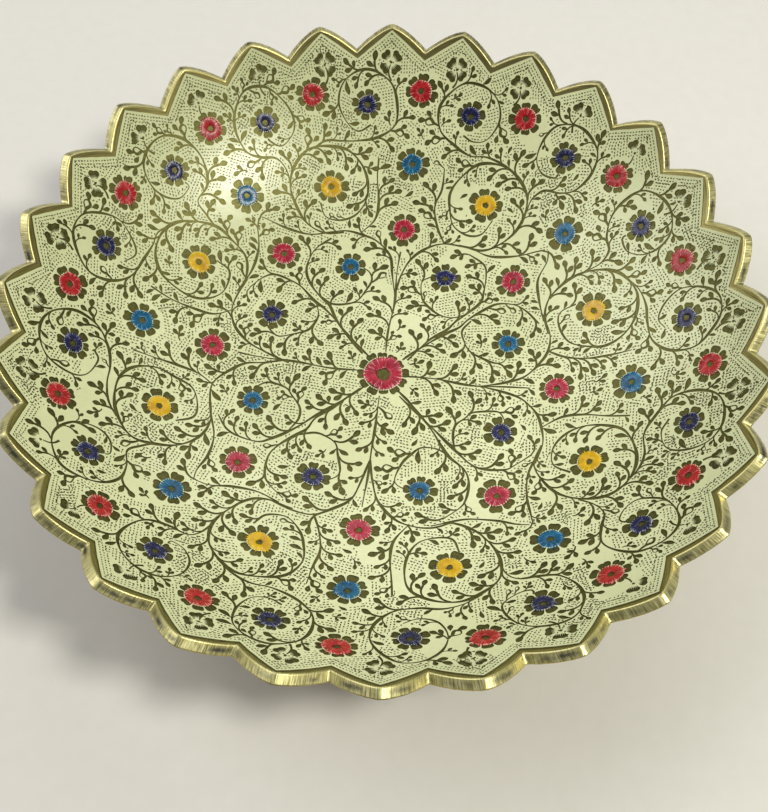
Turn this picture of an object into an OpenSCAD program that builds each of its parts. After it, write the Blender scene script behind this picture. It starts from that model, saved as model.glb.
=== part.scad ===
// Shallow cast-brass bowl on a soldered foot ring.  The inside is coated with
// a cream ground enamel and set with 65 small rings of coloured enamel, and the
// rim is filed into saw teeth.  Millimetres, +Z up.  The origin is the middle
// of the circle that the bowl stands on; a notch of the rim lies on +X, on +Y,
// on -X and on -Y.

/* [Bowl] */
// Diameter across the tips of the teeth, at the outer edge of the metal
overall_d = 254; // [200:1:320]
// Height of the bowl from its underside to the outer edge at the tips
bowl_h = 56; // [40:0.5:80]
// Diameter of the flat part of the bottom, before the side begins to rise
flat_d = 62; // [40:1:90]
// Thickness of the cast wall
wall_t = 3.2; // [2:0.1:5]

/* [Toothed rim] */
// Number of teeth filed round the rim (a multiple of 4)
teeth = 28; // [20:4:40]
// Height of a tooth from the bottom of the notch to where its sides would meet
tooth_h = 10; // [6:0.5:14]
// Radius at which the tip of a tooth is rounded
tip_r = 4.5; // [2:0.25:6]
// How far the filed edge leans down as it runs outwards, in degrees
edge_lean = 15; // [0:1:25]
// Width of bare brass left between the coated field and the edge
margin_w = 2.5; // [1:0.25:4]

/* [Foot ring] */
// Height of the foot ring below the flat underside of the bowl
foot_h = 6; // [3:0.5:15]
// Outer diameter of the foot ring where it stands
foot_d = 96; // [80:1:130]
// Thickness of the foot ring
foot_t = 3; // [2:0.25:5]
// How much the foot ring splays outwards from top to bottom
foot_splay = 1.5; // [0:0.25:3]
// Width of the bead of solder in the corner between foot and bowl
solder_w = 1.6; // [1:0.1:2.5]

/* [Enamel] */
// Thickness of the cream ground enamel
ground_t = 0.3; // [0.2:0.05:0.6]
// How far the coloured enamel stands above the cream ground at its middle
bead_rise = 0.15; // [0:0.05:0.3]
// Gap between a coloured ring and the ground round it
bead_gap = 0.02; // [0:0.01:0.1]

/* [Flowers] */
// Outer diameter of the coloured ring of the middle flower
centre_d = 14.5; // [10:0.5:18]
// Outer diameter of the coloured rings of the other pink flowers
pink_d = 8.8; // [6:0.2:10]
// Outer diameter of the coloured rings of the yellow flowers
yellow_d = 8.4; // [6:0.2:10]
// Outer diameter of the coloured rings of the sky-blue flowers
blue_d = 8.2; // [6:0.2:10]
// Outer diameter of the coloured rings that lie inside the inner scrolls
inner_d = 7.2; // [5:0.2:9]
// Outer diameter of the coloured rings of the red flowers along the rim
rim_red_d = 8.6; // [6:0.2:9]
// Outer diameter of the coloured rings of the dark-blue flowers along the rim
rim_navy_d = 7.2; // [5:0.2:9]
// Diameter of the bare dot in the middle of every small flower
eye_d = 2.2; // [1:0.1:3]
// Diameter of the bare dot in the middle of the large flower
centre_eye_d = 4; // [2:0.25:6]
// How far out the inner flowers lie, from the middle (0) to the notches (1)
inner_at = 0.378; // [0.3:0.002:0.42]
// How far out the pink flowers lie
pink_at = 0.495; // [0.46:0.005:0.55]
// How far out the yellow flowers lie
yellow_at = 0.64; // [0.58:0.005:0.68]
// How far out the sky-blue flowers lie
blue_at = 0.702; // [0.65:0.002:0.74]
// How far out the dark-blue flowers of the rim lie
rim_navy_at = 0.875; // [0.84:0.005:0.89]
// How far out the red flowers of the rim lie
rim_red_at = 0.92; // [0.88:0.005:0.93]

/* [Hidden] */
$fn = 96;
fine = 360;                        // segments round the bowl
smooth = 1440;                     // segments in a full circle of its curve
sectors = 8;                       // the painted design repeats eight times
flat_r = flat_d / 2;
rim_r = overall_d / 2;
tip_z = foot_h + bowl_h;           // height of the outer edge at the tips
floor_z = foot_h + wall_t;         // height of the inside bottom
run = rim_r - flat_r;
out_r = (run * run + bowl_h * bowl_h) / (2 * bowl_h); // curve of the underside
in_r = out_r - wall_t;             // curve of the inside
axis_z = foot_h + out_r;           // height of the centre of both curves
step = 360 / teeth;
half_w = rim_r * sin(step / 2);    // half the distance between two tips
half_a = atan(half_w / tooth_h);   // half the angle of a notch
// The notches are measured across the direction in which the edge is filed.
v_top = rim_r * cos(step / 2) * sin(edge_lean) + tip_z * cos(edge_lean);
v_apex = v_top + tip_r * (1 / sin(half_a) - 1);
v_notch = v_apex - tooth_h;
v_field = v_notch - margin_w / sin(half_a);
v_axis = flat_r * sin(edge_lean) + axis_z * cos(edge_lean);
// Distance along the inside surface from the middle to a notch of the field
field_a = 90 - edge_lean + asin((v_field - v_axis) / in_r);
field_s = flat_r + in_r * field_a * PI / 180;
foot_r = foot_d / 2;
big = overall_d + bowl_h;          // longer than anything it has to cut

function ring_names(base) = [for (k = [1:sectors]) str(base, "_", k)];

// Half section of everything above the curve of radius r round the bowl's
// centre line: a flat bottom that turns into an arc without a corner.
module above_curve(r) {
    translate([0, axis_z - r]) square([flat_r, big]);
    intersection() {
        translate([flat_r, axis_z]) circle(r, $fn = smooth);
        translate([flat_r, 0]) square([big, axis_z]);
    }
}

// Half section of the skin between two such curves.
module band(r_out, r_in) {
    difference() {
        above_curve(r_out);
        above_curve(r_in);
        // everything above the edge of the uncut blank
        rotate(-edge_lean) translate([-big, v_top + 1]) square([3 * big, big]);
        translate([-1, axis_z - r_in]) square([flat_r + 1.001, big]);
    }
}

// Turns a shape drawn across the filing direction into a bar through the rim.
module through_rim(turn) {
    rotate([0, 0, turn]) rotate([0, edge_lean, 0]) rotate([90, 0, 90])
        translate([0, 0, rim_r / 2]) linear_extrude(rim_r) children();
}

// One notch, with the rounded shoulders of the two teeth beside it.
module notch_shape() {
    tu = tip_r * cos(half_a);
    tv = v_apex - tip_r * cos(half_a) / tan(half_a);
    cv = v_apex - tip_r / sin(half_a);
    difference() {
        polygon([[0, v_notch], [half_w - tu, tv], [half_w + 1, tv],
                 [half_w + 1, v_apex + 9], [-half_w - 1, v_apex + 9],
                 [-half_w - 1, tv], [-half_w + tu, tv]]);
        for (side = [-1, 1]) translate([side * half_w, cv]) circle(tip_r);
    }
}

// The same notch for the coated field: straight sides and sharp tips.
module field_shape() {
    rise = (half_w + 1) / tan(half_a);
    polygon([[0, v_field], [half_w + 1, v_field + rise],
             [half_w + 1, v_apex + 9], [-half_w - 1, v_apex + 9],
             [-half_w - 1, v_field + rise]]);
}

// Stands its children on the inside surface, a distance s out from the
// middle, with their +Z along the inward normal.
module on_inside(s, turn) {
    lift = s > flat_r ? (s - flat_r) / in_r * 180 / PI : 0;
    rotate([0, 0, turn]) translate([min(s, flat_r), 0, axis_z])
        rotate([0, -lift, 0]) translate([0, 0, -in_r]) children();
}

// A ring of coloured enamel, its foot on the brass and its eye left open.  The
// brass is hollow, so a flat foot touches it along its outer edge, at seat.
module bead(d, eye, seat) {
    difference() {
        translate([0, 0, seat]) cylinder(h = ground_t + bead_rise - seat, d = d);
        translate([0, 0, -1]) cylinder(h = 3, d = eye, $fn = 48);
    }
}
function seat(d) = in_r - sqrt(in_r * in_r - d * d / 4);

// The hole that a coloured ring leaves in the ground; its seam is turned to
// the side, away from the bowl's own radial seams.
module pocket(d) {
    rotate([0, 0, 90]) translate([0, 0, -2])
        cylinder(h = 5, d = d + 2 * bead_gap);
}

// Directions of the flowers of each ring.
function even_turn(k) = 90 - 360 / sectors * k;
function odd_turn(k) = even_turn(k) - 180 / sectors;
function rim_turn(k) = 90 - 180 / sectors * k;

// The cast body of the bowl.
module bowl_shell() {
    color([0.80, 0.70, 0.36]) difference() {
        rotate_extrude($fn = fine) band(out_r, in_r);
        for (k = [0:teeth - 1]) through_rim(k * step) notch_shape();
    }
}

// Height of the underside of the bowl at radius r.
function under_z(r) = r > flat_r
    ? axis_z - sqrt(out_r * out_r - (r - flat_r) * (r - flat_r)) : foot_h;

// The turned ring that the bowl stands on.  It splays outwards below the neck,
// where the bead of solder ends.
module foot_ring() {
    ro = foot_r - foot_splay;
    neck_z = under_z(ro) - solder_w * 0.7;
    color([0.78, 0.66, 0.33]) rotate_extrude($fn = 240) difference() {
        polygon([[foot_r - foot_t, 0], [foot_r, 0], [ro, neck_z],
                 [ro, foot_h + bowl_h / 4], [ro - foot_t, foot_h + bowl_h / 4],
                 [ro - foot_t, neck_z]]);
        above_curve(out_r);
    }
}

// Half section of a bead of solder in the corner between the wall of the foot
// at radius r and the underside; it reaches out by w, or inwards if w < 0.
module solder_section(r, w) {
    parts = 4;
    polygon(concat([[r, under_z(r) - solder_w * 0.7]],
                   [for (i = [0:parts]) [r + w * i / parts,
                                         under_z(r + w * i / parts)]]));
}

// Beads of solder in the two corners between the foot and the bowl.
module foot_solder() {
    ro = foot_r - foot_splay;
    color([0.72, 0.70, 0.62]) rotate_extrude($fn = 240) {
        solder_section(ro, solder_w);
        solder_section(ro - foot_t, -solder_w);
    }
}

// The cream coat over the inside, open where a coloured ring lies.
module ground_enamel() {
    color([0.81, 0.85, 0.66]) difference() {
        rotate_extrude($fn = fine) band(in_r, in_r - ground_t);
        for (k = [0:teeth - 1]) through_rim(k * step) field_shape();
        on_inside(0, 0) pocket(centre_d);
        for (k = [0:sectors - 1]) {
            on_inside(inner_at * field_s, odd_turn(k)) pocket(inner_d);
            on_inside(pink_at * field_s, even_turn(k)) pocket(pink_d);
            on_inside(yellow_at * field_s, odd_turn(k)) pocket(yellow_d);
            on_inside(blue_at * field_s, even_turn(k)) pocket(blue_d);
        }
        for (k = [0:2 * sectors - 1]) {
            on_inside(rim_red_at * field_s, rim_turn(k)) pocket(rim_red_d);
            on_inside(rim_navy_at * field_s, rim_turn(k + 0.5))
                pocket(rim_navy_d);
        }
    }
}

module flower_centre() {
    color([0.78, 0.20, 0.33]) on_inside(0, 0)
        bead(centre_d, centre_eye_d, 0);
}

// The flowers inside the inner scrolls: dark blue and sky blue by turns.
module flower_inner(k) {
    color(k % 2 == 0 ? [0.14, 0.14, 0.34] : [0.18, 0.49, 0.69])
        on_inside(inner_at * field_s, odd_turn(k))
            bead(inner_d, eye_d, seat(inner_d));
}

module flower_pink(k) {
    color([0.80, 0.22, 0.35])
        on_inside(pink_at * field_s, even_turn(k))
            bead(pink_d, eye_d, seat(pink_d));
}

module flower_yellow(k) {
    color([0.84, 0.71, 0.10])
        on_inside(yellow_at * field_s, odd_turn(k))
            bead(yellow_d, eye_d, seat(yellow_d));
}

module flower_blue(k) {
    color([0.16, 0.47, 0.68])
        on_inside(blue_at * field_s, even_turn(k))
            bead(blue_d, eye_d, seat(blue_d));
}

module flowers_rim_red() {
    color([0.75, 0.15, 0.18]) for (k = [0:2 * sectors - 1])
        on_inside(rim_red_at * field_s, rim_turn(k))
            bead(rim_red_d, eye_d, seat(rim_red_d));
}

module flowers_rim_navy() {
    color([0.14, 0.14, 0.33]) for (k = [0:2 * sectors - 1])
        on_inside(rim_navy_at * field_s, rim_turn(k + 0.5))
            bead(rim_navy_d, eye_d, seat(rim_navy_d));
}

bowl_shell();
foot_ring();
foot_solder();
ground_enamel();
flower_centre();
for (k = [0:sectors - 1]) {
    flower_inner(k);
    flower_pink(k);
    flower_yellow(k);
    flower_blue(k);
}
flowers_rim_red();
flowers_rim_navy();
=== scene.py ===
# %% [markdown]
# # An engraved and enamelled brass bowl
#
# The real bowl is cast in brass, turned, and filed round the rim into 28 saw teeth.  Its
# inside is coated with cream enamel.  The engraver then cuts scrolls, leaves, petals and
# thousands of tiny dashes through the coat, down to the dark brass, and 65 flowers get a
# ring of coloured enamel.  Underneath, a turned foot ring is brazed on.
#
# The pattern is drawn flat, in millimetres, on a disc that stands for the unrolled inside
# of the bowl.  Then one function lifts every point of the disc on to the bowl's curve.

# %% Load the frame that every piece has to fit
import math

import bpy
import numpy as np
from mathutils import Matrix, Vector
from mathutils.geometry import delaunay_2d_cdt


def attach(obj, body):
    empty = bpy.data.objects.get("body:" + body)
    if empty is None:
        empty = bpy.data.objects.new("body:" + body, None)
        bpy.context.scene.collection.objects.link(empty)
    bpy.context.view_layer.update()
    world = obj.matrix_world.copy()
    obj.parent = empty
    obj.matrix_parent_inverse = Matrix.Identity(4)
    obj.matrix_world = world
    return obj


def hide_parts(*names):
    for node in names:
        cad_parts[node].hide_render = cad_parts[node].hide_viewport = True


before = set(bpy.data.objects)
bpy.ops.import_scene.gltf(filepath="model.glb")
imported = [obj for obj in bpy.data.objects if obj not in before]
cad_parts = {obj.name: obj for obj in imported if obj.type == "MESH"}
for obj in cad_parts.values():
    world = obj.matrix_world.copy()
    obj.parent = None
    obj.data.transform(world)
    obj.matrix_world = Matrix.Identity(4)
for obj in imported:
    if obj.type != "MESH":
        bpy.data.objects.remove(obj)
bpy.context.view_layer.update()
print("CAD nodes:", len(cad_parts))

# %% [markdown]
# ## Sizes
#
# These are the bowl's own sizes in millimetres.  Everything else is worked out from them,
# so the pattern, the rim and the flowers stay in step.

# %% Sizes of the bowl in millimetres
MM = 0.001
RIM_R = 127.0        # radius at the outer edge of the tips
BOWL_H = 56.0        # underside to the outer edge of the tips
FLAT_R = 31.0        # flat part of the bottom
WALL = 3.2
FOOT_H = 6.0
FOOT_R = 48.0
FOOT_T = 3.0
FOOT_SPLAY = 1.5
SOLDER_W = 1.6
TEETH = 28
TOOTH_H = 10.0
TIP_R = 4.5
LEAN = math.radians(15)      # how far the filed edge leans down outwards
MARGIN = 2.5                 # the design's bare brass between the coat and the edge
COAT = 0.3                   # thickness of the cream coat
COAT_LAP = 0.85              # the hand-laid coat runs this far into that margin

RUN = RIM_R - FLAT_R
OUT_R = (RUN ** 2 + BOWL_H ** 2) / (2 * BOWL_H)   # curve of the underside
IN_R = OUT_R - WALL                               # curve of the inside
AXIS_Z = FOOT_H + OUT_R                           # centre of both curves
STEP = 2 * math.pi / TEETH
HALF_W = RIM_R * math.sin(STEP / 2)
HALF_A = math.atan(HALF_W / TOOTH_H)
V_TOP = RIM_R * math.cos(STEP / 2) * math.sin(LEAN) + (FOOT_H + BOWL_H) * math.cos(LEAN)
V_NOTCH = V_TOP + TIP_R * (1 / math.sin(HALF_A) - 1) - TOOTH_H
V_FIELD = V_NOTCH - MARGIN / math.sin(HALF_A)
V_COAT = V_FIELD + COAT_LAP / math.sin(HALF_A)
rng = np.random.default_rng(28)
print("curve of the inside, mm:", round(IN_R, 2))

# %% [markdown]
# ## From the flat disc to the bowl
#
# The inside is a flat disc that turns into a circular arc without a corner.  A point of
# the drawing lies at a distance s from the middle, measured along the metal.  Inside the
# flat part it stays where it is; beyond it, the extra length is wound round the arc.  This
# keeps a leaf as long on the side of the bowl as it is on the bottom.

# %% Lift the drawing on to the bowl
def out_and_climb(flat):
    """For flat points: distance from the middle, direction outwards, and the angle
    climbed, which is the distance beyond the flat part over the arc's radius."""
    s = np.hypot(flat[:, 0], flat[:, 1])
    return s, flat / np.maximum(s, 1e-9)[:, None], np.maximum(s - FLAT_R, 0) / IN_R


def on_bowl(flat, lift):
    """Flat points (mm) to the bowl, lift mm above the brass.  Radius and height follow
    from the sine and cosine of the angle climbed."""
    s, out, climb = out_and_climb(flat)
    rad = np.minimum(s, FLAT_R) + (IN_R - lift) * np.sin(climb)
    high = AXIS_Z - (IN_R - lift) * np.cos(climb)
    return np.column_stack([out * rad[:, None], high])


def bowl_normals(flat):
    """The inward normal leans back towards the axis by the angle climbed."""
    _, out, climb = out_and_climb(flat)
    return np.column_stack([-out * np.sin(climb)[:, None], np.cos(climb)])


def squeeze(s):
    """Arc length over true radius: how much wider the drawing is than the metal at a
    distance s out."""
    climb = max(s - FLAT_R, 0) / IN_R
    return s / (min(s, FLAT_R) + IN_R * math.sin(climb))


# %% Make a mesh from arrays
def colour(hex_code):
    """An sRGB hex colour as linear RGBA: each channel goes through the standard curve
    that undoes the screen's gamma."""
    c = np.array([int(hex_code[i:i + 2], 16) for i in (1, 3, 5)]) / 255
    lin = np.where(c <= 0.04045, c / 12.92, ((c + 0.055) / 1.055) ** 2.4)
    return (*lin.tolist(), 1.0)


def build(name, points, faces, mats, replaces, which=None, uv=None, smooth=None,
          normals=None):
    """A mesh object from a point array in mm and a list of face arrays, one array per
    number of corners.  which and smooth hold a value per face, uv and normals a row per
    corner."""
    me = bpy.data.meshes.new(name)
    me.vertices.add(len(points))
    me.vertices.foreach_set("co", (points * MM).astype(np.float32).ravel())
    corners = np.concatenate([f.ravel() for f in faces])
    sizes = np.concatenate([np.full(len(f), f.shape[1]) for f in faces])
    me.loops.add(len(corners))
    me.loops.foreach_set("vertex_index", corners.astype(np.int32))
    me.polygons.add(len(sizes))
    starts = np.concatenate([[0], np.cumsum(sizes)[:-1]])
    me.polygons.foreach_set("loop_start", starts.astype(np.int32))
    if which is not None:
        me.polygons.foreach_set("material_index", which.astype(np.int32))
    for m in mats:
        me.materials.append(m)
    me.polygons.foreach_set("use_smooth", np.ones(len(sizes), bool)
                            if smooth is None else smooth)
    if uv is not None:
        me.uv_layers.new(name="surface").data.foreach_set("uv", uv.astype(np.float32).ravel())
    me.update()
    me.validate()
    if normals is not None:
        me.normals_split_custom_set(normals.tolist())
    ob = bpy.data.objects.new(name, me)
    bpy.context.scene.collection.objects.link(ob)
    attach(ob, "root")
    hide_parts(replaces)
    return ob


# %% Quads of a grid and their surface map
def grid_quads(rows, around, closed):
    """Quads between neighbouring rows and columns.  The columns always close on
    themselves; the rows do if closed."""
    i = np.arange(rows if closed else rows - 1)[:, None]
    j = np.arange(around)[None, :]
    i2, j2 = (i + 1) % rows, (j + 1) % around
    return np.stack([i * around + j, i * around + j2, i2 * around + j2,
                     i2 * around + j], -1).reshape(-1, 4)


def grid_uv(u, v, closed):
    """(u, v) at the corners of the same quads.  u has one value more than there are
    columns, so that the map doesn't run back at the seam; v has one per point."""
    right = np.roll(v, -1, axis=1)
    v4 = np.stack([v, right, np.roll(right, -1, axis=0), np.roll(v, -1, axis=0)], -1)
    u4 = np.broadcast_to(np.stack([u[:-1], u[1:], u[1:], u[:-1]], -1), v4.shape)
    uv = np.stack([u4, v4], -1)
    return (uv if closed else uv[:-1]).reshape(-1, 4, 2)

# %% [markdown]
# ## The outline of the filed teeth
#
# Each notch is filed with the file leaning down by 15 degrees as it runs outwards, so the
# notch is measured across that direction: u is the distance sideways and v the height.
# The flanks bulge a little, the notch stays sharp, and the tip is rounded.  No two teeth
# are quite alike, so each notch and each tip gets its own small error.

# %% Outline of the teeth
# Error in the depth of each notch.  The second row that is drawn isn't used; it keeps
# every later draw the same.
notch_drop = rng.uniform(-0.5, 0.5, (2, TEETH))[0]
tip_drop = rng.uniform(0.0, 0.6, TEETH)      # error in the height of each tip
bulge = rng.uniform(1.3, 1.5, TEETH)         # how round each flank is
HALVINGS = 34                                # of a bracket of about one radian


def edge_height(theta, u):
    """Height v of the metal's edge.  It runs from the notch to the tip as
    1 - (1 - t) ** p, with t the way across: steep at the notch, level at the tip."""
    notch = np.round(theta / STEP).astype(int)
    tip = np.where(theta >= notch * STEP, notch, notch - 1) % TEETH
    t = np.clip(np.abs(u) / HALF_W, 0, 1)
    low = V_NOTCH + notch_drop[notch % TEETH]
    return low + (V_TOP - tip_drop[tip] - low) * (1 - (1 - t) ** bulge[notch % TEETH])


def field_height(theta, u):
    """Height v of the coat's edge: straight flanks that meet in a point."""
    return V_COAT + np.abs(u) / math.tan(HALF_A)


def climb_to(theta, radius, height):
    """Angle climbed along an arc where it meets an outline, by bisection: v grows all
    the way up the arc, so each step halves the bracket."""
    past = theta - np.round(theta / STEP).astype(int) * STEP
    lo, hi = np.full(len(theta), 0.3), np.full(len(theta), 1.35)
    for _ in range(HALVINGS):
        mid = (lo + hi) / 2
        rad = FLAT_R + radius * np.sin(mid)
        high = AXIS_Z - radius * np.cos(mid)
        v = rad * np.cos(past) * math.sin(LEAN) + high * math.cos(LEAN)
        above = v > height(theta, rad * np.sin(past))
        lo, hi = np.where(above, lo, mid), np.where(above, mid, hi)
    return (lo + hi) / 2


notch_s, tip_s = (FLAT_R + IN_R * climb_to(np.array([0, STEP * 0.4999]), IN_R,
                                           field_height)).tolist()
print("coat reaches, mm along the metal:", round(notch_s, 1), round(tip_s, 1))

# %% [markdown]
# ## Nodes for materials
#
# One small function adds a node, sets its values and links what has to be linked.  A
# value that is the same everywhere is typed into the shader's own socket.

# %% Material helpers
def put(tree, kind, sockets=(), out=0, stops=(), **settings):
    """Adds a node and returns one of its outputs.  sockets maps a socket's name or number
    to a value or to the output linked to it, or lists them in order.  stops are the
    (position, hex colour) pairs of a colour ramp."""
    n = tree.nodes.new("ShaderNode" + kind)
    for key, value in settings.items():
        setattr(n, key, value)
    for key, value in (sockets.items() if isinstance(sockets, dict)
                       else enumerate(sockets)):
        if isinstance(value, bpy.types.NodeSocket):
            tree.links.new(value, n.inputs[key])
        else:
            n.inputs[key].default_value = value
    for k, (at, hex_code) in enumerate(stops):
        ramp = n.color_ramp.elements
        stop = ramp[k] if k < len(ramp) else ramp.new(at)
        stop.position, stop.color = at, colour(hex_code)
    return n.outputs[out] if n.outputs else None


def material(name, recipe, **values):
    """A material with one Principled shader.  recipe(tree) adds the nodes and returns the
    sockets they drive; values are the shader's plain values."""
    m = bpy.data.materials.new(name)
    m.use_nodes = True
    t = m.node_tree
    t.nodes.clear()
    plain = {key.replace("_", " "): value for key, value in values.items()}
    put(t, "OutputMaterial", {"Surface": put(t, "BsdfPrincipled", plain | recipe(t))})
    return m


def grain(width_mm):
    """Noise scale whose grain is about width_mm wide on Object coordinates, which are
    in metres."""
    return 1000.0 / width_mm

# %% [markdown]
# ## Brass, four ways
#
# The bowl is one casting, but its brass looks different wherever a different tool touched
# it last: dull where the graver cut through the coat, and painted dark olive there, a
# painted dark reflection of the room; yellow and streaked where the file squared the edge,
# with a painted dark reflection in patches along its middle; brownish and scraped in the
# narrow margin; and finely ringed where the outside was turned, with a painted sheen on
# the rings.  The foot was turned too.  A noise that is stretched along a tool's path gives
# its marks, and the same noise drives colour, gloss and bump.

# %% Engraved brass under the coat
def engraved(t):
    """Cut brass: dull, with the graver's fine ripples, drawn 0.35 mm apart, and painted dark
    olive, a painted dark reflection of the room that the bare brass in the cuts mirrors."""
    pos = put(t, "TexCoord", out="Object")
    tone = put(t, "TexNoise", {"Vector": pos, "Scale": grain(9.0), "Detail": 3.0})
    fine = put(t, "TexNoise", {"Vector": pos, "Scale": grain(0.8)})
    dark = put(t, "ValToRGB", [tone], stops=[(0.3, "#3f3e1d"), (0.7, "#5c5a2b")])
    ripple = put(t, "TexNoise", {"Vector": pos, "Scale": grain(0.35), "Detail": 1.0})
    scratch = put(t, "MapRange", [fine, 0.3, 0.7, 0.0, 0.55])
    return {"Base Color": put(t, "Mix", {0: scratch, 6: dark, 7: colour("#7c7844")},
                              out=2, data_type="RGBA"),
            "Normal": put(t, "Bump", {"Height": ripple, "Distance": 0.05 * MM})}


# the cut brass is painted dark olive, a painted dark reflection of the room
brass_engraved = material("brass_engraved", engraved, Metallic=0.8, Roughness=0.46)

# %% Filed brass of the edge
def filed(t):
    """Yellow brass with file marks across the edge, about 0.3 mm apart, and a painted dark
    reflection in patches that follows the middle of the edge.  The surface map runs along
    the edge in u and across it in v, both in millimetres.  The painted dark reflection is a
    patchy noise times a band round the line 1.7 mm in, full within 0.2 mm of it and gone at
    1.1 mm."""
    uv = put(t, "UVMap", uv_map="surface")
    pos = put(t, "TexCoord", out="Object")
    along = put(t, "Mapping", {"Vector": uv, "Scale": (3.0, 0.2, 1.0)})
    marks = put(t, "TexNoise", {"Vector": along, "Scale": 1.0, "Roughness": 0.6})
    streak = put(t, "ValToRGB", [marks],
                 stops=[(0.3, "#868052"), (0.5, "#c4bc7f"), (0.72, "#e6e0ae")])
    v = put(t, "SeparateXYZ", [uv], out=1)
    off = put(t, "MapRange", [put(t, "Math", [v, 1.7], operation="SUBTRACT"),
                              -1.5, 1.5, -1, 1])
    off = put(t, "Math", [off], operation="ABSOLUTE")
    patch = put(t, "TexNoise", {"Vector": pos, "Scale": grain(9.0), "Detail": 5.0,
                                "Roughness": 0.65})
    # a painted dark reflection, grey, in patches along the middle of the edge
    painted_dark_band = put(t, "Math", [put(t, "MapRange", [patch, 0.45, 0.62]),
                            put(t, "MapRange", [off, 0.75, 0.15])],
                operation="MULTIPLY")
    return {"Base Color": put(t, "Mix", {0: painted_dark_band, 6: streak, 7: colour("#55544a")},
                              out=2, data_type="RGBA"),
            "Roughness": put(t, "MapRange", [marks, 0.3, 0.7, 0.3, 0.48]),
            "Normal": put(t, "Bump", {"Height": marks, "Distance": 0.06 * MM})}


brass_filed = material("brass_filed", filed, Metallic=0.85)

# %% Scraped brass of the margin and turned brass of the outside
def scraped(t):
    """The margin was scraped clean along the zigzag: brownish brass, streaked along its
    length."""
    uv = put(t, "UVMap", uv_map="surface")
    along = put(t, "Mapping", {"Vector": uv, "Scale": (0.12, 2.2, 1.0)})
    lines = put(t, "TexNoise", {"Vector": along, "Scale": 1.0, "Detail": 3.0})
    return {"Base Color": put(t, "ValToRGB", [lines],
                              stops=[(0.3, "#7c7344"), (0.6, "#aba168")]),
            "Normal": put(t, "Bump", {"Height": lines, "Distance": 0.03 * MM})}


def turned(light, dark):
    """Brass off the lathe: rings 0.6 mm apart round the axis, each with a painted sheen of
    pale gold, and brown tarnish in soft patches.  The rings are a noise of the distance to
    the axis, the length of (x, y)."""
    def recipe(t):
        """The nodes for this pair of tones."""
        pos = put(t, "TexCoord", out="Object")
        flat = put(t, "VectorMath", [pos, (1.0, 1.0, 0.0)], operation="MULTIPLY")
        dist = put(t, "VectorMath", [flat], operation="LENGTH", out="Value")
        rings = put(t, "TexNoise", {"W": dist, "Scale": grain(0.6)},
                    noise_dimensions="1D")
        patch = put(t, "TexNoise", {"Vector": pos, "Scale": grain(38.0), "Detail": 4.0,
                                    "Roughness": 0.6})
        base = put(t, "Mix", {0: put(t, "MapRange", [patch, 0.42, 0.62]),
                              6: colour(light), 7: colour(dark)}, out=2, data_type="RGBA")
        # the rings get a painted sheen of pale gold
        shine = put(t, "MapRange", [rings, 0.35, 0.65, 0.0, 0.35])
        return {"Base Color": put(t, "Mix", {0: shine, 6: base, 7: colour("#e9d792")},
                                  out=2, data_type="RGBA"),
                "Roughness": put(t, "MapRange", [patch, 0.4, 0.62, 0.24, 0.45]),
                "Normal": put(t, "Bump", {"Height": rings, "Distance": 0.04 * MM})}
    return recipe


brass_scraped = material("brass_scraped", scraped, Metallic=1.0, Roughness=0.36)
brass_turned = material("brass_turned", turned("#c9b25c", "#8a7135"), Metallic=1.0)
brass_foot = material("brass_foot", turned("#c2a955", "#7d6630"), Metallic=1.0)
print("brasses:", [m.name for m in bpy.data.materials if "brass" in m.name])

# %% [markdown]
# ## Enamel
#
# The cream coat is a stoved enamel, brushed on and baked: glossy, a little uneven, never
# quite one colour.  The coloured enamels are put on afterwards with a point, so they show
# short scratches that run out from the middle of each flower.

# %% Cream enamel, and the walls of the cuts
def cream(t):
    """Pale green-cream, mottled over some 30 mm, with brush waves 3 mm long and a fine
    orange peel."""
    pos = put(t, "TexCoord", out="Object")
    wide = put(t, "TexNoise", {"Vector": pos, "Scale": grain(32.0), "Detail": 3.0,
                               "Roughness": 0.6})
    small = put(t, "TexNoise", {"Vector": pos, "Scale": grain(1.4)})
    base = put(t, "ValToRGB", [wide],
               stops=[(0.34, "#cdd1a2"), (0.55, "#d5d8aa"), (0.72, "#dcdfb2")])
    peel = put(t, "TexNoise", {"Vector": pos, "Scale": grain(0.9), "Detail": 1.0})
    wave = put(t, "TexNoise", {"Vector": pos, "Scale": grain(3.2)})
    skin = put(t, "Bump", {"Height": peel, "Distance": 0.02 * MM})
    fleck = put(t, "MapRange", [small, 0.35, 0.7, 0.0, 0.25])
    return {"Base Color": put(t, "Mix", {0: fleck, 6: base, 7: colour("#c2c694")},
                              out=2, data_type="RGBA"),
            "Normal": put(t, "Bump", {"Height": wave, "Distance": 0.07 * MM, "Normal": skin})}


def painted_cut_shade(t):
    """Painted shade: the wall of a cut is coloured dark olive-brown, not the cream of the
    coat, so that each cut looks as dark as the shadow inside it."""
    tone = put(t, "TexNoise", {"Vector": put(t, "TexCoord", out="Object"),
                               "Scale": grain(1.2)})
    return {"Base Color": put(t, "ValToRGB", [tone],
                              stops=[(0.35, "#45441f"), (0.65, "#656236")])}


enamel_cream = material("enamel_cream", cream, Metallic=0.0, Roughness=0.3, IOR=1.5)
# the walls of the cuts carry a painted shade, dark olive-brown
cut_wall_shade = material("enamel_cut_edge_painted_shade", painted_cut_shade, Metallic=0.0, Roughness=0.6)

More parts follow.
